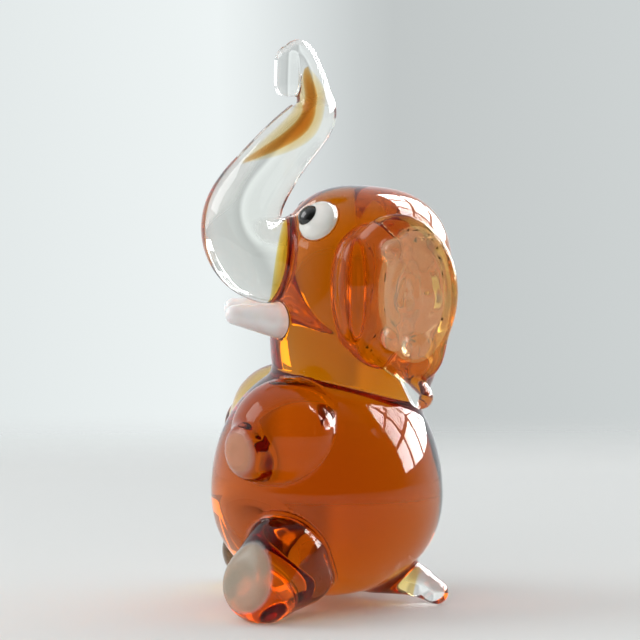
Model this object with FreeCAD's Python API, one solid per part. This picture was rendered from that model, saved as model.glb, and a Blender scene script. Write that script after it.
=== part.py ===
import FreeCAD, Part
import math
import os

os.makedirs("parts", exist_ok=True)

# A seated elephant worked in the flame from solid glass, in millimetres.
# The animal faces -Y, its left side is +X and +Z is up.  The origin is on the
# surface that it stands on, under the axis of the torso.  It stands on its two
# hind feet and the drop at the end of its tail; the torso clears the surface.
# Every piece is one gather of glass.  A piece that was stuck on later is cut
# to the skin of the piece that carries it, so that the two meet face to face.

Vec = FreeCAD.Vector
UP = Vec(0, 0, 1)

# ---- driving dimensions ----
TORSO_RADIUS = 14.6
TORSO_CLEARANCE = 0.9           # gap between the torso and the surface below it
TORSO_BELT = 13.7               # height of the widest place of the torso
TORSO_RISE = 17.0               # from the belt to where the torso would close
TORSO_FULLNESS = 2.12           # power of the torso's outline; 2 is an ellipse
NECK_HEIGHT = 27.4              # middle of the fused neck seam
NECK_SET_BACK = 1.8             # the seam lies a little behind the torso axis
NECK_TILT = 4.5                 # degrees, higher at the front
HEAD_RADIUS = 11.2
HEAD_BELT = 12.4                # from the top of the head to its widest place
HEAD_DROP = 20.0                # from the widest place to where it would close
HEAD_TOP = 52.4
HEAD_FULLNESS = 2.6
HEAD_TILT = 6.0                 # degrees, leaning back
HEAD_WIDTH_SHARE = 0.92         # width over length, seen from above
PAD_SHARE = 0.88                # a flattened paw, as a share of its radius
GROUND_FLAT = 0.12              # depth of the flat where a foot meets the surface
EAR_FLARE = 25.0                # degrees between an ear and the side of the head
EAR_CENTRE = Vec(11.6, 8.3, 40.0)

SIDES = {"left": 1, "right": -1}


# ---- shape helpers ----
def turned_body(radius, belt, rise, drop, power):
    """A closed body of revolution about the Z axis.

    Its outline is a quarter of a superellipse above the belt and one below it.
    """
    steps = 8                   # from the belt to a pole
    past_pole = 2               # points beyond each pole, which level the skin there
    points = []
    for step in range(-steps - past_pole, steps + past_pole + 1):
        angle = math.pi / 2 * step / steps
        height = belt + signed_power(math.sin(angle), 2 / power) * (rise if step > 0 else drop)
        points.append(Vec(radius * signed_power(math.cos(angle), 2 / power), 0, height))
    for pole in (past_pole, -1 - past_pole):
        points[pole].x = 0.0
    skin = Part.BSplineCurve()
    skin.interpolate(points)
    bottom = skin.parameter(points[past_pole])
    top = skin.parameter(points[-1 - past_pole])
    skin.segment(bottom, top)
    axis = Part.makeLine(points[-1 - past_pole], points[past_pole])
    face = Part.Face(Part.Wire([skin.toShape(), axis]))
    return face.revolve(Vec(0, 0, 0), UP, 360)


def signed_power(value, power):
    """The power of a value's size, with the value's own sign."""
    return math.copysign(abs(value) ** power, value)


def stretched(shape, share_x, share_y=1.0, share_z=1.0):
    """The shape scaled about the origin, by its own share along each axis."""
    matrix = FreeCAD.Matrix()
    matrix.scale(share_x, share_y, share_z)
    return shape.transformGeometry(matrix)


def ellipsoid(centre, half_sizes, turn_about_z=0.0):
    """A closed ellipsoid; its half sizes are along its own axes before the turn.

    Its two poles are on its own X axis, at the middle of its broad sides.
    """
    ball = Part.makeSphere(1.0)
    ball.rotate(Vec(0, 0, 0), Vec(0, 1, 0), 90)
    ball = stretched(ball, *half_sizes)
    ball.rotate(Vec(0, 0, 0), UP, turn_about_z)
    ball.translate(centre)
    return ball


def glass_dot(centre, outward, radius, half_thickness):
    """A round dot, flattened along the direction that it looks in."""
    dot = stretched(Part.makeSphere(1.0), radius, radius, half_thickness)
    dot.Placement = FreeCAD.Placement(centre, FreeCAD.Rotation(UP, outward))
    return dot


def round_cone(start, start_radius, end, end_radius):
    """Two balls and the cone that touches both, as one turned solid."""
    length = start.distanceToPoint(end)
    lean = (start_radius - end_radius) / length
    touch = math.asin(lean)
    quarter = math.pi / 2
    start_touch = point_on_ball(start_radius, 0, touch)
    end_touch = point_on_ball(end_radius, length, touch)
    start_pole = Vec(0, 0, -start_radius)
    end_pole = Vec(0, 0, length + end_radius)
    start_middle = point_on_ball(start_radius, 0, (touch - quarter) / 2)
    end_middle = point_on_ball(end_radius, length, (touch + quarter) / 2)
    edges = [
        Part.Arc(start_pole, start_middle, start_touch).toShape(),
        Part.makeLine(start_touch, end_touch),
        Part.Arc(end_touch, end_middle, end_pole).toShape(),
        Part.makeLine(end_pole, start_pole),
    ]
    solid = Part.Face(Part.Wire(edges)).revolve(Vec(0, 0, 0), UP, 360)
    solid.Placement = FreeCAD.Placement(start, FreeCAD.Rotation(UP, end - start))
    return solid


def pressed_flat(shape, centre, outward, depth):
    """The shape without what lies more than depth past centre, looking outward."""
    reach = 4 * TORSO_RADIUS
    beyond = Part.makeCylinder(reach, reach, Vec(0, 0, depth))
    beyond.Placement = FreeCAD.Placement(centre, FreeCAD.Rotation(UP, outward))
    return shape.cut(beyond)


def point_on_ball(radius, height, latitude):
    """A point in the XZ plane on a ball whose centre is at that height."""
    return Vec(radius * math.cos(latitude), 0, height + radius * math.sin(latitude))


def swept_gather(stations):
    """A round body of changing radius along a smooth path in the YZ plane.

    stations are (y, z, radius).  Each end is closed by a smaller ring, which
    rounds off its edge.
    """
    path = [Vec(0, y, z) for y, z, _ in stations]
    curve = Part.BSplineCurve()
    curve.interpolate(path)
    rings = [ring_across(curve, path[0], 0.7 * stations[0][2], -0.35 * stations[0][2])]
    for point, (_, _, radius) in zip(path, stations):
        rings.append(ring_across(curve, point, radius, 0.0))
    rings.append(ring_across(curve, path[-1], 0.7 * stations[-1][2], 0.35 * stations[-1][2]))
    return Part.makeLoft(rings, True, False)


def ring_across(curve, point, radius, shift):
    """A circle square to the curve at the point, shifted along it."""
    along = curve.tangent(curve.parameter(point))[0]
    return Part.Wire(Part.makeCircle(radius, point + Vec(*along) * shift, along))


def mirrored(shape):
    """The same piece on the other side of the animal."""
    return shape.mirror(Vec(0, 0, 0), Vec(1, 0, 0))


def above_ground(shape):
    """The shape without what would reach under the surface it stands on."""
    size = 4 * TORSO_RADIUS
    ground = Part.makeBox(size, size, size, Vec(-size / 2, -size / 2, -size))
    return shape.cut(ground)


# ---- torso and head ----
def make_torso():
    """The solid ball that everything else is stuck to."""
    drop = TORSO_BELT - TORSO_CLEARANCE
    ball = turned_body(TORSO_RADIUS, TORSO_BELT, TORSO_RISE, drop, TORSO_FULLNESS)
    return ball.common(below_neck())


def below_neck():
    """Everything under the tilted plane of the neck seam."""
    side = 6 * TORSO_RADIUS
    block = Part.makeBox(side, side, side, Vec(-side / 2, -side / 2, -side))
    block.rotate(Vec(0, 0, 0), Vec(1, 0, 0), -NECK_TILT)
    block.translate(Vec(0, NECK_SET_BACK, NECK_HEIGHT))
    return block


def make_head():
    """A tall dome that leans back and narrows a little to the neck seam."""
    dome = turned_body(HEAD_RADIUS, 0.0, HEAD_BELT, HEAD_DROP, HEAD_FULLNESS)
    dome = stretched(dome, HEAD_WIDTH_SHARE)
    dome.rotate(Vec(0, 0, 0), Vec(1, 0, 0), -HEAD_TILT)
    lean_back = HEAD_BELT * math.sin(math.radians(HEAD_TILT))
    dome.translate(Vec(0, NECK_SET_BACK + 2 * lean_back, HEAD_TOP - HEAD_BELT))
    return dome.cut(below_neck())


# ---- legs and tail ----
PAW_OUTWARD = Vec(0.62, -0.78, -0.05)
SOLE_OUTWARD = Vec(0.66, -0.66, 0.25)


def make_foreleg(torso, head):
    """A ball high on the left side of the chest, and a smaller one flat at the paw."""
    paw = Vec(12.0, -9.0, 20.8)
    paw_radius = 4.0
    shoulder = Part.makeSphere(6.9, Vec(9.0, -5.2, 22.3))
    leg = shoulder.fuse(Part.makeSphere(paw_radius, paw))
    leg = pressed_flat(leg, paw, PAW_OUTWARD, PAD_SHARE * paw_radius)
    return leg.cut(torso).cut(head)


def make_hindleg(torso):
    """A bent gather low on the left side, flat at the sole, resting on its heel."""
    foot_radius = 4.6
    foot = Vec(13.8, -8.4, foot_radius - GROUND_FLAT)
    shin = round_cone(Vec(11.2, -5.2, 8.0), 5.3, foot, foot_radius)
    hip = round_cone(Vec(9.6, -4.2, 5.8), 5.0, foot, foot_radius)
    leg = pressed_flat(shin.fuse(hip), foot, SOLE_OUTWARD, PAD_SHARE * foot_radius)
    return above_ground(leg.cut(torso))


TAIL_JOINT = Vec(1.9, 11.3, 2.7)
TAIL_JOINT_RADIUS = 1.9


def make_tail(torso):
    """A stub behind the torso; its end is cut off square where the drop was added."""
    root = Vec(0.8, 6.4, 3.7)
    stub = round_cone(root, 2.7, TAIL_JOINT, TAIL_JOINT_RADIUS)
    return pressed_flat(stub, TAIL_JOINT, TAIL_JOINT - root, 0.0).cut(torso)


def make_tail_tip(tail, torso):
    """The clear glass on the end of the tail, drawn out to a drop on the ground."""
    drop_radius = 1.5
    drop = Vec(3.3, 13.7, drop_radius - GROUND_FLAT / 2)
    tip = round_cone(TAIL_JOINT, TAIL_JOINT_RADIUS * 0.98, drop, drop_radius)
    return above_ground(tip.cut(tail).cut(torso))


# ---- ears ----
def ear_point(outward, rearward, rise):
    """A point of the left ear, measured from its centre along its own axes."""
    angle = math.radians(EAR_FLARE)
    across = Vec(math.cos(angle), -math.sin(angle), 0)
    along = Vec(math.sin(angle), math.cos(angle), 0)
    return EAR_CENTRE + across * outward + along * rearward + UP * rise


def make_ear(head, insert):
    """A leaf-shaped rim round the lens, with a folded lobe along its front edge."""
    pad = ellipsoid(EAR_CENTRE, (2.4, 7.7, 9.6), -EAR_FLARE)
    point = ellipsoid(ear_point(0.0, 1.8, -6.6), (1.8, 4.3, 4.4), -EAR_FLARE)
    lobe = ellipsoid(ear_point(0.9, -5.4, 0.2), (2.1, 2.2, 6.2), -EAR_FLARE)
    pad, point, lobe = [blob.cut(head).cut(insert) for blob in (pad, point, lobe)]
    return pad.fuse(point).fuse(lobe)


def make_ear_insert(head):
    """The clear lens that goes right through the middle of the ear."""
    lens = ellipsoid(ear_point(0.3, 2.3, -0.1), (3.0, 4.3, 8.1), -EAR_FLARE)
    return lens.cut(head)


def make_ear_tip(ear):
    """The clear drip that hangs from the bottom of the ear."""
    drip = round_cone(ear_point(0.2, 1.4, -9.8), 1.3, ear_point(0.2, 3.1, -12.6), 1.5)
    return drip.cut(ear)


# ---- trunk ----
# The gather leaves the face, swings up through an S and bends over at its top.
TRUNK_STATIONS = [
    (-4.6, 43.2, 5.8),
    (-8.9, 44.3, 5.7),
    (-10.5, 48.8, 5.0),
    (-7.8, 54.0, 4.05),
    (-4.5, 58.1, 3.5),
    (-1.8, 61.2, 3.0),
    (-1.5, 63.5, 2.25),
    (-1.75, 65.6, 1.8),
    (-2.3, 67.6, 1.5),
    (-3.3, 69.2, 1.5),
    (-4.4, 68.8, 1.4),
]

# Its last part is folded down against it and was snipped off flat.
FOLD_TOP = Vec(0, -4.75, 68.1)
FOLD_END = Vec(0, -4.85, 65.1)
FOLD_RADIUS = 1.75
SNIP_DEPTH = 1.6                # from the middle of the fold's end ball to the flat

# The amber cane inside it is drawn out thin at both ends.
STREAK_STATIONS = [
    (-9.9, 54.8, 0.30),
    (-7.6, 56.3, 0.55),
    (-5.1, 58.1, 0.65),
    (-3.2, 59.8, 0.65),
    (-2.15, 61.5, 0.60),
    (-1.8, 63.5, 0.55),
    (-2.15, 65.6, 0.45),
    (-2.4, 67.2, 0.25),
]


def make_trunk(head, streak):
    """The clear gather on the face, with the cane cased inside it."""
    fold = round_cone(FOLD_TOP, FOLD_RADIUS, FOLD_END, 0.98 * FOLD_RADIUS)
    fold = pressed_flat(fold, FOLD_END, FOLD_END - FOLD_TOP, SNIP_DEPTH)
    return swept_gather(TRUNK_STATIONS).fuse(fold).cut(head).cut(streak)


# ---- face ----
def make_eye(head):
    """A dot of white glass melted onto the front corner of the head."""
    return glass_dot(Vec(6.6, -1.3, 48.5), Vec(0.68, -0.52, 0.52), 2.6, 1.2).cut(head)


def make_pupil(head, eye):
    """A black dot on the front edge of the eye."""
    dot = glass_dot(Vec(6.5, -2.6, 49.1), Vec(0.60, -0.60, 0.53), 1.35, 0.75)
    return dot.cut(head).cut(eye)


def make_tusk(head, trunk):
    """A blunt milky stub beside the root of the trunk."""
    tusk = round_cone(Vec(4.4, -6.4, 36.0), 2.2, Vec(5.2, -11.6, 36.7), 1.25)
    return tusk.cut(head).cut(trunk)


# ---- assembly ----
def middle_pieces(torso, head, trunk, streak):
    """The pieces on the middle plane of the animal."""
    tail = make_tail(torso)
    return {
        "torso": torso,
        "head": head,
        "trunk": trunk,
        "trunk_streak": streak,
        "tail": tail,
        "tail_tip": make_tail_tip(tail, torso),
    }


def left_pieces(torso, head, trunk):
    """One of each pair, on the left side of the animal."""
    insert = make_ear_insert(head)
    ear = make_ear(head, insert)
    eye = make_eye(head)
    return {
        "foreleg": make_foreleg(torso, head),
        "hindleg": make_hindleg(torso),
        "ear": ear,
        "ear_insert": insert,
        "ear_tip": make_ear_tip(ear),
        "tusk": make_tusk(head, trunk),
        "eye": eye,
        "pupil": make_pupil(head, eye),
    }


def build():
    """Every piece of the animal by its node name."""
    torso = make_torso()
    head = make_head()
    streak = swept_gather(STREAK_STATIONS)
    trunk = make_trunk(head, streak)
    pieces = middle_pieces(torso, head, trunk, streak)
    for name, shape in left_pieces(torso, head, trunk).items():
        for side, sign in SIDES.items():
            pieces[side + "_" + name] = shape if sign > 0 else mirrored(shape)
    return pieces


def largest_solid(shape):
    """The piece itself, without any crumb that a cut left over."""
    return max(shape.Solids, key=lambda solid: solid.Volume)


for name, shape in build().items():
    solid = largest_solid(shape)
    solid.exportStep("parts/" + name + ".step")
    print(f"{name:18s} {len(shape.Solids)} solid, {solid.Volume:9.2f} cubic mm, {solid.isValid()}")
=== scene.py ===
import math

import bpy
import numpy as np
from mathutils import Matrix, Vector


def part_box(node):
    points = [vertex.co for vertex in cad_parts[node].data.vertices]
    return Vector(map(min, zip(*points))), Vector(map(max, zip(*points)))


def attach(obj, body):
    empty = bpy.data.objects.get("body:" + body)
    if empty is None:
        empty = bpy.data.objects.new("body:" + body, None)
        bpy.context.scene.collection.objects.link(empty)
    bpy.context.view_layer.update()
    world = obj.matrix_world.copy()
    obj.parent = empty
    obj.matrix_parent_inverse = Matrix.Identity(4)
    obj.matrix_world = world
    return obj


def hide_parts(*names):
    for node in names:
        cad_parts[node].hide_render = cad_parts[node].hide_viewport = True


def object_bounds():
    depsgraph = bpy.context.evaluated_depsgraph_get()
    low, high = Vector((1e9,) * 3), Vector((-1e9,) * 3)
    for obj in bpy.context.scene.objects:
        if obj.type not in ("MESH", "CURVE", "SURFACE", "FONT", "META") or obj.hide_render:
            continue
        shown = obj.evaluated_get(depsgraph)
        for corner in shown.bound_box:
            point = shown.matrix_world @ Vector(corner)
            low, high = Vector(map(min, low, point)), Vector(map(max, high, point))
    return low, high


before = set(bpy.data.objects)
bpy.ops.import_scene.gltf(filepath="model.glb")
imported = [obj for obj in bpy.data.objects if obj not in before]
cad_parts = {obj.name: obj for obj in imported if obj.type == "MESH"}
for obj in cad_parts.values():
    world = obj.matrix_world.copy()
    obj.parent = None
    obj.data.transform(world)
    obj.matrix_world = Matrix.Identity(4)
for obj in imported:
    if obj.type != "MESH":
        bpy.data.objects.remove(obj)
cad_low, cad_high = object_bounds()

# A seated elephant of solid glass, worked in the flame.  The animal faces -Y
# and its left side is +X.  Every CAD node is replaced by a finer piece of the
# same name.  The pieces are grown from one skin: each piece has a distance
# field, the fields are melted into each other where they touch, and the skin is
# then divided among the pieces, so that a seam inside the glass is shared by
# the two pieces that meet there.  Lengths are in millimetres up to the meshes.

MM = 0.001
GRID = 0.32      # spacing of the grid the skin is found on
MARGIN = 1.0                    # grid beyond the object's box
REACH = 3.0                     # how far from its own box a piece is worked out
FAR = 1000.0                    # the distance written down beyond that
SEAM_GAP = 0.002                # each side of a seam stands back this much
PAD_REFLECTION_FADE = 0.4                  # a leg's flat end, dull and painted with a pale reflection, fades out over this depth

GLASS_IOR = 1.5
SEAM_IOR = 1.0                  # light crosses a fused seam without bending


# ---- places from the frame ----
def box(node):
    """The node's lowest and highest corners in millimetres."""
    low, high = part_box(node)
    return np.array(low) / MM, np.array(high) / MM


def spot(node, across=0.0, back=0.0, up=0.0):
    """A point measured in millimetres from the middle of a node's box."""
    low, high = box(node)
    return (low + high) / 2 + np.array([across, back, up])


def kind_of(node):
    """The name of a piece without its side; the two sides are alike."""
    return node.removeprefix("left_").removeprefix("right_")


FLOOR = cad_low[2] / MM


# ---- distance fields ----
def melt(first, second, radius):
    """The smaller of two fields, with a fillet of about that radius between them."""
    blend = np.maximum(radius - np.abs(first - second), 0.0) / radius
    return np.minimum(first, second) - blend * blend * radius / 4


def trim(field, cutter, radius):
    """The field without the cutter's inside, its new edge rounded off."""
    return -melt(-field, cutter, radius)


def ellipsoid(points, centre, half_sizes, axes=None):
    """A near distance to an ellipsoid; the rows of axes are its own directions."""
    local = points - centre
    if axes is not None:
        local = local @ axes.T
    ratio = np.linalg.norm(local / half_sizes, axis=1)
    slope = np.linalg.norm(local / np.square(half_sizes), axis=1)
    return ratio * (ratio - 1.0) / np.maximum(slope, 1e-9)


def round_cone(points, start, start_radius, end, end_radius):
    """The distance to two balls and the cone that touches both."""
    axis = end - start
    length = np.linalg.norm(axis)
    local = points - start
    along = local @ axis / length
    aside = np.linalg.norm(local - np.outer(along, axis / length), axis=1)
    lean = (start_radius - end_radius) / length
    rise = math.sqrt(1.0 - lean * lean)
    foot = along * rise - aside * lean
    on_cone = aside * rise + along * lean - start_radius
    at_start = np.hypot(aside, along) - start_radius
    at_end = np.hypot(aside, along - length) - end_radius
    return np.where(foot < 0, at_start, np.where(foot > length * rise, at_end, on_cone))


def turned_body(points, radius, rise, drop, power):
    """A near distance to a body turned about Z, its belt at the origin's height."""
    aside = np.hypot(points[:, 0], points[:, 1]) / radius + 1e-9
    reach = np.where(points[:, 2] > 0, rise, drop)
    height = np.abs(points[:, 2]) / reach + 1e-9
    size = (aside ** power + height ** power) ** (1 / power)
    slope = np.hypot((aside / size) ** (power - 1) / radius,
                     (height / size) ** (power - 1) / reach)
    return (size - 1.0) / slope


def axes_towards(direction):
    """Three axes of which the last looks in that direction."""
    ahead = np.array(direction) / np.linalg.norm(direction)
    side = np.cross([0.0, 0.0, 1.0], ahead)
    side /= np.linalg.norm(side)
    return np.array([side, np.cross(ahead, side), ahead])


class Gather:
    """A round rod of changing radius along a smooth path, from (y, z, radius) stations."""

    SAMPLES_PER_SPAN = 16

    def __init__(self, middle, stations):
        stations = np.array(stations)
        self.middle = middle
        self.values = stations
        self.bends = self.second_slopes(stations)
        spans = len(stations) - 1
        self.times = np.linspace(0, spans, spans * self.SAMPLES_PER_SPAN + 1)
        self.samples = self.at(self.times)[0]

    @staticmethod
    def second_slopes(values):
        """Second derivatives of the natural cubic spline through the stations."""
        count = len(values)
        matrix = np.eye(count) * 4
        matrix[0, 0] = matrix[-1, -1] = 1
        right = np.zeros_like(values)
        for i in range(1, count - 1):
            matrix[i, i - 1] = matrix[i, i + 1] = 1
            right[i] = 6 * (values[i - 1] - 2 * values[i] + values[i + 1])
        return np.linalg.solve(matrix, right)

    def at(self, time):
        """Value, slope and second slope of (y, z, radius) at each time."""
        span = np.clip(time.astype(int), 0, len(self.values) - 2)
        after = (time - span)[:, None]
        before = 1 - after
        a, b = self.values[span], self.values[span + 1]
        bend_a, bend_b = self.bends[span], self.bends[span + 1]
        bow = (before ** 3 - before) * bend_a + (after ** 3 - after) * bend_b
        value = before * a + after * b + bow / 6
        slope = b - a + ((1 - 3 * before ** 2) * bend_a + (3 * after ** 2 - 1) * bend_b) / 6
        return value, slope, before * bend_a + after * bend_b

    def field(self, points):
        """The distance from the rod's skin."""
        flat = (points - self.middle)[:, 1:]
        across = points[:, 0] - self.middle[0]
        gaps = np.linalg.norm(flat[:, None, :] - self.samples[None, :, :2], axis=2)
        time = self.times[np.argmin(gaps, axis=1)]
        for _ in range(3):
            value, slope, bend = self.at(time)
            miss = value[:, :2] - flat
            push = np.sum(miss * slope[:, :2], axis=1)
            stiff = np.sum(slope[:, :2] ** 2, axis=1) + np.sum(miss * bend[:, :2], axis=1)
            step = push / np.maximum(stiff, 0.2 * np.sum(slope[:, :2] ** 2, axis=1))
            time = np.clip(time - np.clip(step, -0.1, 0.1), 0, len(self.values) - 1)
        value = self.at(time)[0]
        return np.sqrt(across ** 2 + np.sum((flat - value[:, :2]) ** 2, axis=1)) - value[:, 2]


# ---- the pieces' own shapes; a right piece is its left one seen in a mirror ----
TORSO_RADIUS = (box("torso")[1][0] - box("torso")[0][0]) / 2
TORSO_BELT = -0.8               # from the middle of its box
TORSO_RISE = 17.0
TORSO_FULLNESS = 2.12
HEAD_RADIUS = 11.2
HEAD_WIDTH_SHARE = 0.92
HEAD_BELT = 12.4
HEAD_DROP = 20.0
HEAD_FULLNESS = 2.6
HEAD_TILT = math.radians(6.0)
NECK_TILT = math.radians(4.5)
NECK_POINT = spot("torso", 0.0, 1.8, 12.86)
HEAD_MIDDLE = spot("head", 0.0, 0.1, 0.5)

PRESSED_EDGE = 0.9              # round edge of a leg's flat end
SHOULDER_RADIUS = 6.9
PAW_RADIUS = 4.0
SHIN_RADIUS = 5.3
HIP_RADIUS = 5.0
FOOT_RADIUS = 4.6
TRUNK_FOLD_RADII = (1.75, 1.72)
SNIP_DEPTH = 1.6                # the fold is cut off square this far past FOLD_END
TAIL_RADII = (2.7, 1.9)
DROP_RADII = (1.86, 1.5)
TUSK_RADII = (2.2, 1.25)
EAR_TIP_RADII = (1.3, 1.5)

# half sizes along an ear's own axes: outward, rearward and up
EAR_PAD = np.array([2.4, 7.7, 9.6])
EAR_LOWER_END = np.array([1.8, 4.3, 4.4])
EAR_LOBE = np.array([2.1, 2.2, 6.2])
EAR_LENS = np.array([3.0, 4.3, 8.1])
LENS_RIPPLE = 0.07              # height of the rings pressed into the lens
LENS_RINGS = 20.0               # radians of ripple from its middle to its edge
LENS_LUMPS = [(-2.2, -5.4, 1.2), (0.7, -6.0, 1.5), (-2.4, 5.3, 1.1)]   # rearward, up, radius
LUMP_OUT = 1.6                  # the lumps' middles lie this far out

# half sizes across and through a dot, and the way it looks
EYE_DOT = np.array([2.6, 2.6, 1.2])
EYE_LOOKS = [0.68, -0.52, 0.52]
PUPIL_DOT = np.array([1.35, 1.35, 0.75])
PUPIL_LOOKS = [0.60, -0.60, 0.53]

EAR_FLARE = math.radians(25.0)
EAR_AXES = np.array([
    [math.cos(EAR_FLARE), -math.sin(EAR_FLARE), 0.0],
    [math.sin(EAR_FLARE), math.cos(EAR_FLARE), 0.0],
    [0.0, 0.0, 1.0],
])

# where a leg was pressed flat: its end's middle, the way out, the flat's distance,
# and how deep its dull end, painted with a pale reflection of the room, reaches
PADS = {
    "foreleg": (spot("left_foreleg", 1.55, -2.9, -2.15), np.array([0.62, -0.78, -0.05]), 3.2, 0.4),
    "hindleg": (spot("left_hindleg", 1.65, -2.15, -1.95), np.array([0.66, -0.66, 0.25]), 3.6, 1.2),
}
TAIL_ROOT = spot("tail", -0.35, -1.95, 0.85)
TAIL_JOINT = spot("tail", 0.75, 2.95, -0.15)

# (back, up, radius) from the middle of the trunk's box
TRUNK_STATIONS = [
    (2.7, -10.7, 5.8),
    (-1.6, -9.6, 5.7),
    (-3.2, -5.1, 5.0),
    (-0.5, 0.1, 4.05),
    (2.8, 4.2, 3.5),
    (5.5, 7.3, 3.0),
    (5.8, 9.6, 2.25),
    (5.55, 11.7, 1.8),
    (5.0, 13.7, 1.5),
    (4.0, 15.3, 1.5),
    (2.9, 14.9, 1.4),
]
FOLD_TOP = spot("trunk", 0.0, 2.55, 14.2)
FOLD_END = spot("trunk", 0.0, 2.45, 11.2)

# the cane inside it, measured from the same place
STREAK_STATIONS = [
    (-2.6, 0.9, 0.22),
    (-0.3, 2.4, 0.42),
    (2.2, 4.2, 0.56),
    (4.1, 5.9, 0.63),
    (5.15, 7.6, 0.60),
    (5.5, 9.6, 0.55),
    (5.15, 11.7, 0.45),
    (4.9, 13.3, 0.25),
]
trunk_gather = Gather(spot("trunk"), TRUNK_STATIONS)
streak_gather = Gather(spot("trunk"), STREAK_STATIONS)


def above_neck(points):
    """Height over the tilted plane of the neck seam."""
    return (points - NECK_POINT) @ np.array([0.0, math.sin(NECK_TILT), math.cos(NECK_TILT)])


def torso_field(points):
    return turned_body(points - spot("torso", up=TORSO_BELT), TORSO_RADIUS, TORSO_RISE,
                       spot("torso", up=TORSO_BELT)[2] - box("torso")[0][2], TORSO_FULLNESS)


def head_field(points):
    local = points - HEAD_MIDDLE
    back = local[:, 1] * math.cos(HEAD_TILT) - local[:, 2] * math.sin(HEAD_TILT)
    up = local[:, 1] * math.sin(HEAD_TILT) + local[:, 2] * math.cos(HEAD_TILT)
    upright = np.stack([local[:, 0] / HEAD_WIDTH_SHARE, back, up], axis=1)
    return turned_body(upright, HEAD_RADIUS, HEAD_BELT, HEAD_DROP, HEAD_FULLNESS)


def beyond_flat(points, limb):
    """Distance out of the plane of a leg's flat end."""
    centre, outward, depth, _ = PADS[limb]
    return (points - centre) @ (outward / np.linalg.norm(outward)) - depth


def pressed(field, points, limb):
    """The leg cut off flat at its end, as by a paddle, with a round edge."""
    return trim(field, -beyond_flat(points, limb), PRESSED_EDGE)


def ball(points, centre, radius):
    return np.linalg.norm(points - centre, axis=1) - radius


def foreleg_field(points):
    paw = PADS["foreleg"][0]
    shoulder = spot("left_foreleg", -1.45, 0.9, -0.65)
    leg = melt(ball(points, shoulder, SHOULDER_RADIUS), ball(points, paw, PAW_RADIUS), 0.5)
    return pressed(leg, points, "foreleg")


def hindleg_field(points):
    foot = PADS["hindleg"][0]
    shin_top = spot("left_hindleg", -0.95, 1.05, 1.6)
    hip_top = spot("left_hindleg", -2.55, 2.05, -0.6)
    shin = round_cone(points, shin_top, SHIN_RADIUS, foot, FOOT_RADIUS)
    hip = round_cone(points, hip_top, HIP_RADIUS, foot, FOOT_RADIUS)
    return pressed(melt(shin, hip, 1.0), points, "hindleg")


def trunk_field(points):
    """The swept gather and its last part, folded down and snipped off flat."""
    start_radius, end_radius = TRUNK_FOLD_RADII
    fold = round_cone(points, FOLD_TOP, start_radius, FOLD_END, end_radius)
    down = (FOLD_END - FOLD_TOP) / np.linalg.norm(FOLD_END - FOLD_TOP)
    fold = trim(fold, SNIP_DEPTH - (points - FOLD_END) @ down, 0.5)
    return melt(trunk_gather.field(points), fold, 0.5)


def tail_field(points):
    return round_cone(points, TAIL_ROOT, TAIL_RADII[0], TAIL_JOINT, TAIL_RADII[1])


def tail_tip_field(points):
    drop = spot("tail_tip", 0.85, 0.73, -0.8)
    return round_cone(points, TAIL_JOINT, DROP_RADII[0], drop, DROP_RADII[1])


def past_tail_joint(points):
    """Distance beyond the place where the clear drop was added to the tail."""
    along = TAIL_JOINT - TAIL_ROOT
    return (points - TAIL_JOINT) @ (along / np.linalg.norm(along))


def ear_point(outward, rearward, rise):
    """A point of the left ear from its centre, along its own axes."""
    return spot("left_ear", -0.7, 0.2, 0.7) + np.array([outward, rearward, rise]) @ EAR_AXES


def ear_field(points):
    pad = ellipsoid(points, ear_point(0.0, 0.0, 0.0), EAR_PAD, EAR_AXES)
    point = ellipsoid(points, ear_point(0.0, 1.8, -6.6), EAR_LOWER_END, EAR_AXES)
    lobe = ellipsoid(points, ear_point(0.9, -5.4, 0.2), EAR_LOBE, EAR_AXES)
    return melt(melt(pad, point, 1.2), lobe, 0.8)


def ear_insert_field(points):
    """A lens with ring-shaped ripples and a few small lumps near its two ends."""
    centre = spot("left_ear_insert")
    lens = ellipsoid(points, centre, EAR_LENS, EAR_AXES)
    local = (points - centre) @ EAR_AXES.T
    ring = np.hypot(local[:, 1] / EAR_LENS[1], local[:, 2] / EAR_LENS[2])
    turn = np.arctan2(local[:, 2], local[:, 1])
    wave = np.sin(LENS_RINGS * ring + 0.6 * np.sin(3.0 * turn))
    lens = lens + LENS_RIPPLE * wave * np.clip(1.3 - ring, 0.0, 1.0)
    for rearward, rise, radius in LENS_LUMPS:
        lump = centre + np.array([LUMP_OUT, rearward, rise]) @ EAR_AXES
        lens = melt(lens, ball(points, lump, radius), 0.8)
    return lens


def ear_tip_field(points):
    return round_cone(points, spot("left_ear_tip", -0.5, -0.9, 1.9), EAR_TIP_RADII[0],
                      spot("left_ear_tip", 0.23, 0.64, -0.9), EAR_TIP_RADII[1])


def tusk_field(points):
    return round_cone(points, spot("left_tusk", 0.0, 2.5, 0.0), TUSK_RADII[0],
                      spot("left_tusk", 0.8, -2.7, 0.7), TUSK_RADII[1])


def eye_field(points):
    return ellipsoid(points, spot("left_eye"), EYE_DOT, axes_towards(EYE_LOOKS))


def pupil_field(points):
    middle = spot("left_pupil", 0.0, 0.1, 0.0)
    return ellipsoid(points, middle, PUPIL_DOT, axes_towards(PUPIL_LOOKS))


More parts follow.
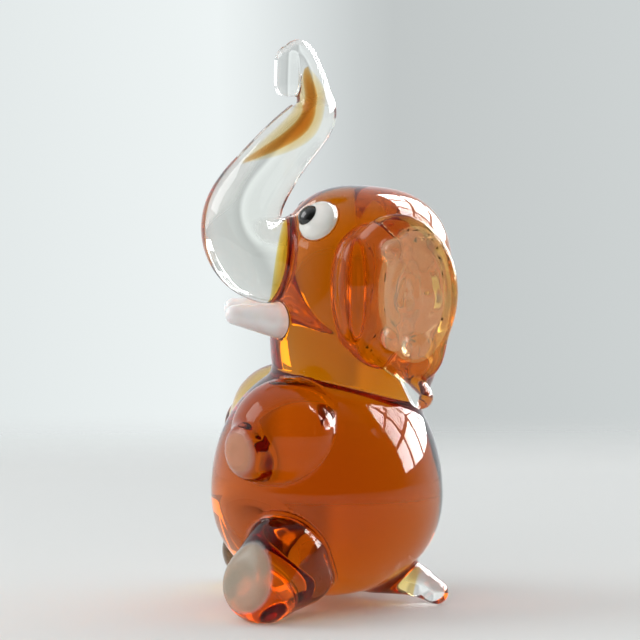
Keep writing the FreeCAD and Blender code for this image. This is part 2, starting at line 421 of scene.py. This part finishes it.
# node: (field, fillet where it was melted on, pieces that it is cut to)
MIDDLE = {
    "torso": (torso_field, 1.0, []),
    "head": (head_field, 1.2, []),
    "trunk": (trunk_field, 0.8, ["head", "trunk_streak"]),
    "trunk_streak": (streak_gather.field, None, []),
    "tail": (tail_field, 1.2, ["torso"]),
    "tail_tip": (tail_tip_field, 0.5, ["torso"]),
}
SIDE = {
    "foreleg": (foreleg_field, 0.6, ["torso", "head"]),
    "hindleg": (hindleg_field, 0.6, ["torso"]),
    "ear": (ear_field, 1.0, ["head", "ear_insert"]),
    "ear_insert": (ear_insert_field, 1.0, ["head"]),
    "ear_tip": (ear_tip_field, 0.6, ["ear"]),
    "tusk": (tusk_field, 0.4, ["head", "trunk"]),
    "eye": (eye_field, 0.4, ["head"]),
    "pupil": (pupil_field, 0.2, ["head", "eye"]),
}


def all_pieces():
    """(node, field, fillet, nodes it is cut to, mirrored) of every piece."""
    rows = [(node, field, fillet, cuts, False) for node, (field, fillet, cuts) in MIDDLE.items()]
    for side in ("left", "right"):
        for name, (field, fillet, cuts) in SIDE.items():
            full = [cut if cut in MIDDLE else side + "_" + cut for cut in cuts]
            rows.append((side + "_" + name, field, fillet, full, side == "right"))
    return rows


PIECES = all_pieces()
NODES = [row[0] for row in PIECES]
BOXES = [box(node) for node in NODES]
EVERYWHERE = ("torso", "head")


def hand_worked(points):
    """The points moved by a slow ripple, as glass shaped by hand is never true."""
    x, y, z = points.T
    sway = np.stack([
        0.10 * np.sin(y / 3.1 + 0.4) * np.sin(z / 4.3 + 1.0),
        0.09 * np.sin(z / 3.7 + 2.1) * np.sin(x / 4.1 + 0.3),
        0.07 * np.sin(x / 3.3 + 1.2) * np.sin(y / 4.7 + 2.2),
    ], axis=1)
    return points + sway


def whole_and_cut(points):
    """The melted skin's field, and the field of each piece cut to its carriers."""
    rippled = hand_worked(points)
    mirrored = rippled * np.array([-1.0, 1.0, 1.0])
    raw = np.full((len(NODES), len(points)), FAR)
    for i, (node, field, _, _, is_mirrored) in enumerate(PIECES):
        near = np.ones(len(points), bool)
        if node not in EVERYWHERE:
            low, high = BOXES[i]
            near = np.all((points > low - REACH) & (points < high + REACH), axis=1)
        if near.any():
            raw[i, near] = field((mirrored if is_mirrored else rippled)[near])
    skin = None
    for i, (_, _, fillet, _, _) in enumerate(PIECES):
        if fillet is not None:
            skin = raw[i] if skin is None else melt(skin, raw[i], fillet)
    skin = np.maximum(skin, FLOOR - points[:, 2])
    return skin, cut_fields(raw, points)


def cut_fields(raw, points):
    """Each piece's field where it is not taken up by the pieces that carry it."""
    cut = raw.copy()
    for i, (_, _, _, cuts, _) in enumerate(PIECES):
        for carrier in cuts:
            cut[i] = np.maximum(cut[i], -raw[NODES.index(carrier)])
    over_neck = above_neck(points)
    past_joint = past_tail_joint(points)
    for node, limit in (("torso", over_neck), ("head", -over_neck),
                        ("tail", past_joint), ("tail_tip", -past_joint)):
        i = NODES.index(node)
        cut[i] = np.maximum(cut[i], limit)
    return cut


# ---- from fields to meshes ----
CHUNK = 60000


def in_chunks(points):
    """Runs whole_and_cut a chunk at a time, and says where each chunk starts."""
    for start in range(0, len(points), CHUNK):
        yield start, whole_and_cut(points[start:start + CHUNK])


def sampled_grid():
    """Grid origin, the skin's field and each point's owner: 0 outside, else 1 + its piece."""
    low = np.array(cad_low) / MM - MARGIN
    high = np.array(cad_high) / MM + MARGIN
    counts = np.ceil((high - low) / GRID).astype(int) + 1
    grids = np.meshgrid(*[low[a] + GRID * np.arange(counts[a]) for a in range(3)], indexing="ij")
    points = np.stack([g.ravel() for g in grids], axis=1)
    skin = np.empty(len(points))
    owner = np.zeros(len(points), np.int64)
    for start, (field, cut) in in_chunks(points):
        end = start + len(field)
        skin[start:end] = field
        owner[start:end] = np.where(field < 0, 1 + np.argmin(cut, axis=0), 0)
    return low, skin.reshape(counts), owner.reshape(counts)


def crossed_edges(low, skin, owner):
    """Every grid edge whose ends have different owners.

    Returns the four cells round each edge, the owners at its two ends and the
    point where it crosses from one to the other.
    """
    counts = np.array(skin.shape)
    strides = np.array([counts[1] * counts[2], counts[2], 1])
    cells, ends, crossings = [], [], []
    for axis in range(3):
        first = [slice(None)] * 3
        second = [slice(None)] * 3
        first[axis] = slice(0, -1)
        second[axis] = slice(1, None)
        here, there = owner[tuple(first)], owner[tuple(second)]
        index = np.argwhere(here != there)
        place = tuple(index.T)
        a, b = here[place], there[place]
        value_a, value_b = skin[tuple(first)][place], skin[tuple(second)][place]
        open_air = (a == 0) | (b == 0)
        share = np.where(open_air, value_a / np.where(open_air, value_a - value_b, 1.0), 0.5)
        point = low + GRID * index
        point[:, axis] += GRID * share
        beside, above = (axis + 1) % 3, (axis + 2) % 3
        base = index @ strides
        ring = [base - strides[beside] - strides[above], base - strides[above], base,
                base - strides[beside]]
        cells.append(np.stack(ring, axis=1))
        ends.append(np.stack([a, b], axis=1))
        crossings.append(point)
    return np.concatenate(cells), np.concatenate(ends), np.concatenate(crossings)


def settled(points, on_skin, first, second):
    """The points moved onto the skin and onto the seam between their two owners.

    Also returns the skin's outward direction there.
    """
    step_size = 0.01
    on_seam = first != second
    points = points.copy()
    normals = np.zeros_like(points)
    for _ in range(4):
        for start in range(0, len(points), CHUNK // 4):
            part = slice(start, start + CHUNK // 4)
            here = points[part]
            probes = np.concatenate([here] + [here + step_size * np.eye(3)[a] for a in range(3)])
            skin, cut = whole_and_cut(probes)
            count = len(here)
            picks = np.tile(np.arange(count), 4)
            column = np.arange(4 * count)
            seam = cut[first[part][picks], column] - cut[second[part][picks], column]
            skin = skin.reshape(4, count)
            seam = seam.reshape(4, count)
            skin_slope = (skin[1:] - skin[0]).T / step_size
            seam_slope = (seam[1:] - seam[0]).T / step_size
            steepness = np.linalg.norm(skin_slope, axis=1)
            normals[part] = skin_slope / np.maximum(steepness, 1e-6)[:, None]
            points[part] = here - correction(skin[0], skin_slope, seam[0], seam_slope,
                                             on_skin[part], on_seam[part])
    return points, normals


def correction(skin, skin_slope, seam, seam_slope, on_skin, on_seam):
    """The shortest step that brings the wanted ones of two fields to zero."""
    skin_slope = skin_slope * on_skin[:, None]
    seam_slope = seam_slope * on_seam[:, None]
    a = np.sum(skin_slope ** 2, axis=1) + 1e-6
    d = np.sum(seam_slope ** 2, axis=1) + 1e-6
    b = np.sum(skin_slope * seam_slope, axis=1)
    spread = np.maximum(a * d - b * b, 0.05 * a * d)
    pull_skin = (d * skin * on_skin - b * seam * on_seam) / spread
    pull_seam = (a * seam * on_seam - b * skin * on_skin) / spread
    step = pull_skin[:, None] * skin_slope + pull_seam[:, None] * seam_slope
    length = np.linalg.norm(step, axis=1)
    return step * np.minimum(1.0, 0.5 * GRID / np.maximum(length, 1e-9))[:, None]


def grown_skin():
    """All corners, their skin directions, and the quads with the owners on both sides."""
    cells, ends, crossings = crossed_edges(*sampled_grid())
    used, corner = np.unique(cells, return_inverse=True)
    corner = corner.reshape(cells.shape)
    count = len(used)
    total = np.zeros((count, 3))
    hits = np.bincount(corner.ravel(), minlength=count)
    for axis in range(3):
        total[:, axis] = np.bincount(corner.ravel(), np.repeat(crossings[:, axis], 4), count)
    points = total / hits[:, None]
    lowest = np.full(count, len(NODES) + 1)
    highest = np.zeros(count, np.int64)
    on_skin = np.zeros(count, bool)
    for end in (0, 1):
        owners = np.repeat(ends[:, end], 4)
        np.maximum.at(highest, corner.ravel(), owners)
        inner = owners > 0
        np.minimum.at(lowest, corner.ravel()[inner], owners[inner])
        on_skin[corner.ravel()[~inner]] = True
    points, normals = settled(points, on_skin, lowest - 1, highest - 1)
    return points, normals, corner, ends


def piece_mesh(number, points, normals, quads, ends):
    """The closed mesh of one piece, with the refraction that each face has."""
    owner = number + 1
    forward = ends[:, 0] == owner
    backward = ends[:, 1] == owner
    faces = np.concatenate([quads[forward], quads[backward][:, ::-1]])
    beyond = np.concatenate([ends[forward, 1], ends[backward, 0]])
    is_seam = beyond > 0
    used, faces = np.unique(faces, return_inverse=True)
    faces = faces.reshape(-1, 4)
    places = points[used].copy()
    corners = places[faces]
    turned = np.cross(corners[:, 2] - corners[:, 0], corners[:, 3] - corners[:, 1])
    turned /= np.maximum(np.linalg.norm(turned, axis=1), 1e-12)[:, None]
    inward = np.zeros_like(places)
    for k in range(4):
        np.add.at(inward, faces[is_seam, k], -turned[is_seam])
    size = np.linalg.norm(inward, axis=1)
    inward[size > 0] *= (SEAM_GAP / size[size > 0])[:, None]
    places += inward
    mesh = bpy.data.meshes.new(NODES[number])
    mesh.from_pydata((places * MM).tolist(), [], faces.tolist())
    mesh.polygons.foreach_set("use_smooth", np.ones(len(faces), bool))
    corner_normals = np.repeat(turned, 4, axis=0)
    smooth = np.repeat(~is_seam, 4)
    corner_normals[smooth] = normals[used][faces.ravel()][smooth]
    refraction = mesh.attributes.new("refraction", "FLOAT", "FACE")
    refraction.data.foreach_set("value", np.where(is_seam, SEAM_IOR, GLASS_IOR))
    limb = kind_of(NODES[number])
    # a leg's flat end gets a mask for the pale reflection of the room painted on it
    if limb in PADS:
        left = places * np.array([math.copysign(1.0, places[:, 0].mean()), 1.0, 1.0])
        flat = np.clip(1.0 + (beyond_flat(left, limb) + PADS[limb][3] / 2) / PAD_REFLECTION_FADE, 0.0, 1.0)
        pad_reflection = mesh.attributes.new("pad_reflection", "FLOAT", "POINT")
        pad_reflection.data.foreach_set("value", flat)
    mesh.normals_split_custom_set(corner_normals.tolist())
    mesh.update()
    return mesh


# ---- materials ----
def new_material(name):
    material = bpy.data.materials.new(name)
    material.use_nodes = True
    return material, material.node_tree, material.node_tree.nodes["Principled BSDF"]


def link(tree, source, target):
    tree.links.new(source, target)


DENSITY_ROOM = 1.05             # keeps the strongest loss just off full black
WAVE_SCALE = 160.0
WAVE_STRENGTH = 0.05
WAVE_HEIGHT = 0.0002


def fire_polish(tree, shader):
    """Faint waves that the flame leaves in a polished skin."""
    coordinates = tree.nodes.new("ShaderNodeTexCoord")
    noise = tree.nodes.new("ShaderNodeTexNoise")
    noise.inputs["Scale"].default_value = WAVE_SCALE
    noise.inputs["Detail"].default_value = 1.0
    bump = tree.nodes.new("ShaderNodeBump")
    bump.inputs["Strength"].default_value = WAVE_STRENGTH
    bump.inputs["Distance"].default_value = WAVE_HEIGHT
    link(tree, coordinates.outputs["Object"], noise.inputs["Vector"])
    link(tree, noise.outputs["Fac"], bump.inputs["Height"])
    link(tree, bump.outputs["Normal"], shader.inputs["Normal"])


def clear_material(name, loss_per_mm, gloss=1.0, body=(1.0, 1.0, 1.0), clarity=1.0):
    """Solid glass; loss_per_mm is what it takes out of red, green and blue light.

    Gloss scales its mirror image of the room.  Glass of less than full clarity
    has a faint skin of the body colour, which paints a pale reflection of light inside the glass.
    """
    material, tree, shader = new_material(name)
    shader.inputs["Base Color"].default_value = (*body, 1.0)
    shader.inputs["Roughness"].default_value = 0.0
    shader.inputs["Transmission Weight"].default_value = clarity
    shader.inputs["Specular Tint"].default_value = (gloss, gloss, gloss, 1.0)
    refraction = tree.nodes.new("ShaderNodeAttribute")
    refraction.attribute_name = "refraction"
    link(tree, refraction.outputs["Fac"], shader.inputs["IOR"])
    fire_polish(tree, shader)
    volume = tree.nodes.new("ShaderNodeVolumeAbsorption")
    density = max(loss_per_mm) / MM * DENSITY_ROOM
    kept = [1.0 - loss / MM / density for loss in loss_per_mm]
    volume.inputs["Color"].default_value = (*kept, 1.0)
    volume.inputs["Density"].default_value = density
    output = tree.nodes["Material Output"]
    link(tree, volume.outputs["Volume"], output.inputs["Volume"])
    return material


def paint_pad_reflection(material, colour, clarity, roughness):
    """Gives a leg's flat end a pale, mottled painted reflection of the room, and makes the glass
    there rougher and less clear.
    """
    tree = material.node_tree
    shader = tree.nodes["Principled BSDF"]
    pad_reflection = tree.nodes.new("ShaderNodeAttribute")
    pad_reflection.attribute_name = "pad_reflection"
    cloud = tree.nodes.new("ShaderNodeTexNoise")
    cloud.inputs["Scale"].default_value = 320.0
    mottle = tree.nodes.new("ShaderNodeMapRange")
    mottle.inputs["From Min"].default_value = 0.35
    mottle.inputs["From Max"].default_value = 0.65
    mottle.inputs["To Min"].default_value = 0.55
    mottle.inputs["To Max"].default_value = 1.0
    amount = tree.nodes.new("ShaderNodeMath")
    amount.operation = "MULTIPLY"
    # the pale colour on the flat end is a painted reflection of the room
    tone = tree.nodes.new("ShaderNodeMix")
    tone.data_type = "RGBA"
    tone.inputs["A"].default_value = (1.0, 1.0, 1.0, 1.0)
    tone.inputs["B"].default_value = (*colour, 1.0)
    link(tree, cloud.outputs["Fac"], mottle.inputs["Value"])
    link(tree, pad_reflection.outputs["Fac"], amount.inputs[0])
    link(tree, mottle.outputs["Result"], amount.inputs[1])
    link(tree, pad_reflection.outputs["Fac"], tone.inputs["Factor"])
    link(tree, tone.outputs["Result"], shader.inputs["Base Color"])
    changes = (("Transmission Weight", 1.0, clarity), ("Roughness", 0.0, roughness))
    for socket, polished, dull in changes:
        change = tree.nodes.new("ShaderNodeMapRange")
        change.inputs["To Min"].default_value = polished
        change.inputs["To Max"].default_value = dull
        link(tree, amount.outputs["Value"], change.inputs["Value"])
        link(tree, change.outputs["Result"], shader.inputs[socket])
    return material


def opal_material(name, colour, mottle, subsurface):
    """Opaque glass: a soft body colour, faintly clouded, under a fire-polished skin."""
    material, tree, shader = new_material(name)
    coordinates = tree.nodes.new("ShaderNodeTexCoord")
    cloud = tree.nodes.new("ShaderNodeTexNoise")
    cloud.inputs["Scale"].default_value = 400.0
    ramp = tree.nodes.new("ShaderNodeValToRGB")
    ramp.color_ramp.elements[0].position = 0.3
    ramp.color_ramp.elements[0].color = (*mottle, 1.0)
    ramp.color_ramp.elements[1].position = 0.7
    ramp.color_ramp.elements[1].color = (*colour, 1.0)
    link(tree, coordinates.outputs["Object"], cloud.inputs["Vector"])
    link(tree, cloud.outputs["Fac"], ramp.inputs["Fac"])
    link(tree, ramp.outputs["Color"], shader.inputs["Base Color"])
    shader.inputs["Roughness"].default_value = 0.12
    shader.inputs["IOR"].default_value = 1.5
    shader.inputs["Subsurface Weight"].default_value = subsurface
    shader.inputs["Subsurface Radius"].default_value = (1.0, 0.8, 0.7)
    shader.inputs["Subsurface Scale"].default_value = 0.001
    shader.inputs["Coat Weight"].default_value = 0.5
    shader.inputs["Coat Roughness"].default_value = 0.02
    return material


AMBER_GLOSS = 0.48              # how much of the room the amber mirrors
LEG_LOSS = (0.013, 0.044, 0.135)        # per mm, of red, green and blue
CLEAR_LOSS = (0.0040, 0.0032, 0.0070)

GLASS = {
    "amber_glass": clear_material("amber", (0.025, 0.094, 0.320), AMBER_GLOSS),
    "clear_glass": clear_material("clear", CLEAR_LOSS),
    "amber_cane": clear_material("cane", (0.36, 1.10, 2.40)),
    "milk_glass": opal_material("milk", (0.95, 0.93, 0.92), (0.88, 0.80, 0.79), 0.5),
    "white_glass": opal_material("white", (0.88, 0.86, 0.81), (0.78, 0.76, 0.71), 0.3),
    "black_glass": opal_material("black", (0.012, 0.011, 0.010), (0.006, 0.006, 0.005), 0.0),
}

# pieces whose glass differs a little from the rest of their slot
SPECIAL = {
    "head": clear_material("amber_head", (0.024, 0.096, 0.400), AMBER_GLOSS),
    # the legs' pale flat ends carry a painted reflection of the room
    "foreleg": paint_pad_reflection(clear_material("amber_foreleg", LEG_LOSS, AMBER_GLOSS),
                          (0.80, 0.55, 0.36), 0.55, 0.15),
    "hindleg": paint_pad_reflection(clear_material("amber_hindleg", LEG_LOSS, AMBER_GLOSS),
                          (0.52, 0.45, 0.34), 0.18, 0.30),
    # the lens's pale cream skin and lowered clarity are a painted reflection of bright light
    # inside it
    "ear_insert": clear_material("clear_lens_painted_reflection", CLEAR_LOSS, 1.0,
                                 (1.0, 0.86, 0.60), 0.84),
}
HALO = clear_material("cane_halo", (0.03, 0.14, 0.42))
HALO_SHARE = 2.2                # the halo's radius over the cane's

# the record's material slot of each piece
SLOTS = {
    "torso": "amber_glass",
    "head": "amber_glass",
    "trunk": "clear_glass",
    "trunk_streak": "amber_cane",
    "tail": "amber_glass",
    "tail_tip": "clear_glass",
    "foreleg": "amber_glass",
    "hindleg": "amber_glass",
    "ear": "amber_glass",
    "ear_insert": "clear_glass",
    "ear_tip": "clear_glass",
    "tusk": "milk_glass",
    "eye": "white_glass",
    "pupil": "black_glass",
}


def halo_mesh():
    """A wider, much paler sleeve of colour round the cane, inside the trunk."""
    sides, steps = 24, 60
    times = np.linspace(0.0, len(STREAK_STATIONS) - 1, steps)
    value, slope, _ = streak_gather.at(times)
    along = slope[:, :2] / np.linalg.norm(slope[:, :2], axis=1)[:, None]
    aside = np.stack([-along[:, 1], along[:, 0]], axis=1)
    verts = []
    for i in range(steps):
        taper = math.sqrt(max(0.0, 1.0 - (2.0 * i / (steps - 1) - 1.0) ** 4))
        radius = HALO_SHARE * value[i, 2] * taper + 0.02
        for k in range(sides):
            angle = 2 * math.pi * k / sides
            flat = value[i, :2] + aside[i] * radius * math.cos(angle)
            across = radius * math.sin(angle)
            verts.append(streak_gather.middle + np.array([across, flat[0], flat[1]]))
    faces = [(i * sides + k, i * sides + (k + 1) % sides, (i + 1) * sides + (k + 1) % sides,
              (i + 1) * sides + k) for i in range(steps - 1) for k in range(sides)]
    faces.append(tuple(range(sides))[::-1])
    faces.append(tuple((steps - 1) * sides + k for k in range(sides)))
    mesh = bpy.data.meshes.new("trunk_halo")
    mesh.from_pydata((np.array(verts) * MM).tolist(), [], faces)
    refraction = mesh.attributes.new("refraction", "FLOAT", "FACE")
    refraction.data.foreach_set("value", np.full(len(faces), SEAM_IOR))
    return mesh


def make_halo():
    mesh = halo_mesh()
    mesh.materials.append(HALO)
    piece = bpy.data.objects.new("trunk_halo_glass", mesh)
    bpy.context.scene.collection.objects.link(piece)
    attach(piece, "root")


def make_animal():
    """Every piece as an object that rides on the part and stands for its node."""
    points, normals, quads, ends = grown_skin()
    for number, node in enumerate(NODES):
        mesh = piece_mesh(number, points, normals, quads, ends)
        slot = SLOTS[kind_of(node)]
        mesh.materials.append(SPECIAL.get(kind_of(node), GLASS[slot]))
        piece = bpy.data.objects.new(node + "_glass", mesh)
        bpy.context.scene.collection.objects.link(piece)
        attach(piece, "root")
        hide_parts(node)


# ---- studio ----
TABLE_BACK = -0.20              # the table is gone here, behind the animal
TABLE_FADE = -0.115             # it starts to fade into the backdrop here
TABLE_SIDE = 0.9
TABLE_FRONT = 1.2
BACKDROP_X = -0.75
BACKDROP_SIDE = 1.6
# how bright the backdrop's painted glow is at shares of its width
BACKDROP_GLOW_TONES = [(0.470, 0.74), (0.497, 0.83), (0.514, 0.50), (0.545, 0.58)]  # share of its width


def plain_material(name, colour, roughness):
    """A matt surface with a faint unevenness of tone."""
    material, tree, shader = new_material(name)
    noise = tree.nodes.new("ShaderNodeTexNoise")
    noise.inputs["Scale"].default_value = 6.0
    ramp = tree.nodes.new("ShaderNodeValToRGB")
    ramp.color_ramp.elements[0].color = (*[0.97 * c for c in colour], 1.0)
    ramp.color_ramp.elements[1].color = (*colour, 1.0)
    link(tree, noise.outputs["Fac"], ramp.inputs["Fac"])
    link(tree, ramp.outputs["Color"], shader.inputs["Base Color"])
    shader.inputs["Roughness"].default_value = roughness
    shader.inputs["Specular IOR Level"].default_value = 0.1
    return material


def sheet_mesh(name, outline, side):
    """A surface made by drawing an (x, z) outline along Y, both ways from zero."""
    verts = [(x, y, z) for x, z in outline for y in (-side, side)]
    faces = [(2 * i, 2 * i + 2, 2 * i + 3, 2 * i + 1) for i in range(len(outline) - 1)]
    mesh = bpy.data.meshes.new(name)
    mesh.from_pydata(verts, [], faces)
    for face in mesh.polygons:
        face.use_smooth = True
    thing = bpy.data.objects.new(name, mesh)
    bpy.context.scene.collection.objects.link(thing)
    return thing


def make_table():
    """A pale top whose far side melts softly into the backdrop."""
    table = sheet_mesh("table", [(TABLE_FRONT, cad_low[2]), (TABLE_BACK, cad_low[2])], TABLE_SIDE)
    material = plain_material("table_top", (0.76, 0.765, 0.75), 0.8)
    tree = material.node_tree
    coordinates = tree.nodes.new("ShaderNodeTexCoord")
    parts = tree.nodes.new("ShaderNodeSeparateXYZ")
    fade = tree.nodes.new("ShaderNodeMapRange")
    fade.interpolation_type = "SMOOTHSTEP"
    fade.inputs["From Min"].default_value = TABLE_BACK
    fade.inputs["From Max"].default_value = TABLE_FADE
    link(tree, coordinates.outputs["Object"], parts.inputs[0])
    link(tree, parts.outputs["X"], fade.inputs["Value"])
    link(tree, fade.outputs["Result"], tree.nodes["Principled BSDF"].inputs["Alpha"])
    table.data.materials.append(material)
    return table


def make_backdrop():
    """A wall behind that glows with painted light, a little greyer towards the animal's back."""
    wall = sheet_mesh("backdrop", [(BACKDROP_X, -0.5), (BACKDROP_X, 1.2)], BACKDROP_SIDE)
    material, tree, shader = new_material("backdrop_wall")
    coordinates = tree.nodes.new("ShaderNodeTexCoord")
    parts = tree.nodes.new("ShaderNodeSeparateXYZ")
    ramp = tree.nodes.new("ShaderNodeValToRGB")
    for place, tone in BACKDROP_GLOW_TONES:
        stop = ramp.color_ramp.elements.new(place)
        stop.color = (tone, 1.06 * tone, 1.06 * tone, 1.0)
    for preset in (-1, 0):
        ramp.color_ramp.elements.remove(ramp.color_ramp.elements[preset])
    link(tree, coordinates.outputs["Generated"], parts.inputs[0])
    link(tree, parts.outputs["Y"], ramp.inputs["Fac"])
    # the wall's look is all painted light that it glows with
    link(tree, ramp.outputs["Color"], shader.inputs["Emission Color"])
    shader.inputs["Emission Strength"].default_value = 1.0
    shader.inputs["Base Color"].default_value = (0.02, 0.02, 0.02, 1.0)
    shader.inputs["Roughness"].default_value = 0.9
    wall.data.materials.append(material)
    wall.visible_glossy = False
    return wall


def area_light(name, place, target, width, height, watts):
    """A rectangular soft light that looks at the target."""
    lamp = bpy.data.lights.new(name, "AREA")
    lamp.shape = "RECTANGLE"
    lamp.size = width
    lamp.size_y = height
    lamp.energy = watts
    thing = bpy.data.objects.new(name, lamp)
    bpy.context.scene.collection.objects.link(thing)
    thing.location = place
    thing.rotation_euler = (Vector(target) - Vector(place)).to_track_quat("-Z", "Y").to_euler()
    return thing


WINDOW_CENTRE = Vector((-0.42, 0.74, 0.42))
WINDOW_TARGET = Vector((0.0, 0.0, 0.03))
PANE = 0.285
PANE_BAR = 0.050
PANE_WATTS = 5.4
GLOW_SIZE = (1.3, 0.9)          # the same window as it is seen through the glass
GLOW_WATTS = 9.0


def make_window():
    """A barred softbox behind the animal's back, which is seen only in the glass."""
    facing = (WINDOW_TARGET - WINDOW_CENTRE).to_track_quat("-Z", "Y")
    pitch = PANE + PANE_BAR
    for column in (-1.5, -0.5, 0.5, 1.5):
        for row in (-0.5, 0.5, 1.5):
            place = WINDOW_CENTRE + facing @ Vector((column * pitch, row * pitch, 0.0))
            pane = area_light("window_pane", place, place + WINDOW_TARGET - WINDOW_CENTRE,
                              PANE, PANE, PANE_WATTS)
            pane.visible_diffuse = False
            pane.visible_transmission = False
    glow = area_light("window_glow", WINDOW_CENTRE, WINDOW_TARGET, *GLOW_SIZE, GLOW_WATTS)
    glow.visible_diffuse = False
    glow.visible_glossy = False


# name, place, width and power of each soft light that fills the shadows
FILLS = [
    ("sky_fill", (-0.35, 0.45, 0.85), 1.2, 2.6),
    ("front_fill", (0.65, -0.35, 0.45), 0.6, 2.0),
]


def make_fills():
    """Large soft lights for what isn't clear glass; the glass doesn't mirror them."""
    for name, place, size, watts in FILLS:
        fill = area_light(name, place, (0.0, 0.0, 0.03), size, size, watts)
        fill.visible_glossy = False
        fill.visible_transmission = False
        fill.data.use_shadow = False


def make_side_light():
    """A low soft light in front of the animal, which shows in its paws and soles."""
    area_light("side_softbox", (-0.08, -0.80, 0.50), (0.0, 0.0, 0.02), 0.5, 0.45, 2.6)


WORLD_BRIGHT = 0.95
WORLD_DIM = 0.06                # towards the camera
WORLD_SEEN = 0.75               # where the camera looks straight at it
ROOM_DIRECTION = (1.0, 0.3, -0.1)
ROOM_BEGINS, ROOM_FULL = -0.25, 0.45    # reach along that direction of the dimming


def make_world():
    """Soft light from behind and above; the room on the camera's side is dimmer.

    Seen straight, the surroundings are plain and pale.
    """
    world = bpy.data.worlds.new("studio")
    world.use_nodes = True
    bpy.context.scene.world = world
    tree = world.node_tree
    background = tree.nodes["Background"]
    coordinates = tree.nodes.new("ShaderNodeTexCoord")
    towards_room = tree.nodes.new("ShaderNodeVectorMath")
    towards_room.operation = "DOT_PRODUCT"
    towards_room.inputs[1].default_value = ROOM_DIRECTION
    room = tree.nodes.new("ShaderNodeMapRange")
    room.inputs["From Min"].default_value = ROOM_BEGINS
    room.inputs["From Max"].default_value = ROOM_FULL
    room.inputs["To Min"].default_value = WORLD_BRIGHT
    room.inputs["To Max"].default_value = WORLD_DIM
    seen = tree.nodes.new("ShaderNodeLightPath")
    pick = tree.nodes.new("ShaderNodeMix")
    pick.inputs["B"].default_value = WORLD_SEEN
    link(tree, coordinates.outputs["Generated"], towards_room.inputs[0])
    link(tree, towards_room.outputs["Value"], room.inputs["Value"])
    link(tree, seen.outputs["Is Camera Ray"], pick.inputs["Factor"])
    link(tree, room.outputs["Result"], pick.inputs["A"])
    link(tree, pick.outputs["Result"], background.inputs["Strength"])
    background.inputs["Color"].default_value = (0.93, 0.97, 1.0, 1.0)


CAMERA_AZIMUTH = math.radians(88.0)     # from the animal's face towards its left side
CAMERA_DISTANCE = 0.400
CAMERA_HEIGHT = 0.072
CAMERA_LENS = 180.0
CAMERA_SENSOR = 36.0
AIM_FORWARD = 0.00088           # it looks at a point this far in front of the feet's middle
AIM_RISE = 0.03557              # and this far above the table


def make_camera():
    """A long lens on the animal's left side, a little above it."""
    feet = Vector(((cad_low[0] + cad_high[0]) / 2, (cad_low[1] + cad_high[1]) / 2, cad_low[2]))
    place = feet + Vector((math.sin(CAMERA_AZIMUTH) * CAMERA_DISTANCE,
                           -math.cos(CAMERA_AZIMUTH) * CAMERA_DISTANCE, CAMERA_HEIGHT))
    aim = feet + Vector((0.0, -AIM_FORWARD, AIM_RISE))
    data = bpy.data.cameras.new("camera")
    data.lens = CAMERA_LENS
    data.sensor_width = CAMERA_SENSOR
    data.clip_start = 0.01
    camera = bpy.data.objects.new("camera", data)
    bpy.context.scene.collection.objects.link(camera)
    camera.location = place
    camera.rotation_euler = (aim - place).to_track_quat("-Z", "Y").to_euler()
    bpy.context.scene.camera = camera


def set_light_paths():
    """Light may pass through many skins of glass before it is given up."""
    cycles = bpy.context.scene.cycles
    cycles.max_bounces = 24
    cycles.transmission_bounces = 24
    cycles.glossy_bounces = 8
    cycles.transparent_max_bounces = 32
    cycles.caustics_refractive = True
    cycles.caustics_reflective = True
    bpy.context.scene.view_settings.view_transform = "Standard"


make_animal()
make_halo()
make_table()
make_backdrop()
make_window()
make_side_light()
make_fills()
make_world()
make_camera()
set_light_paths()
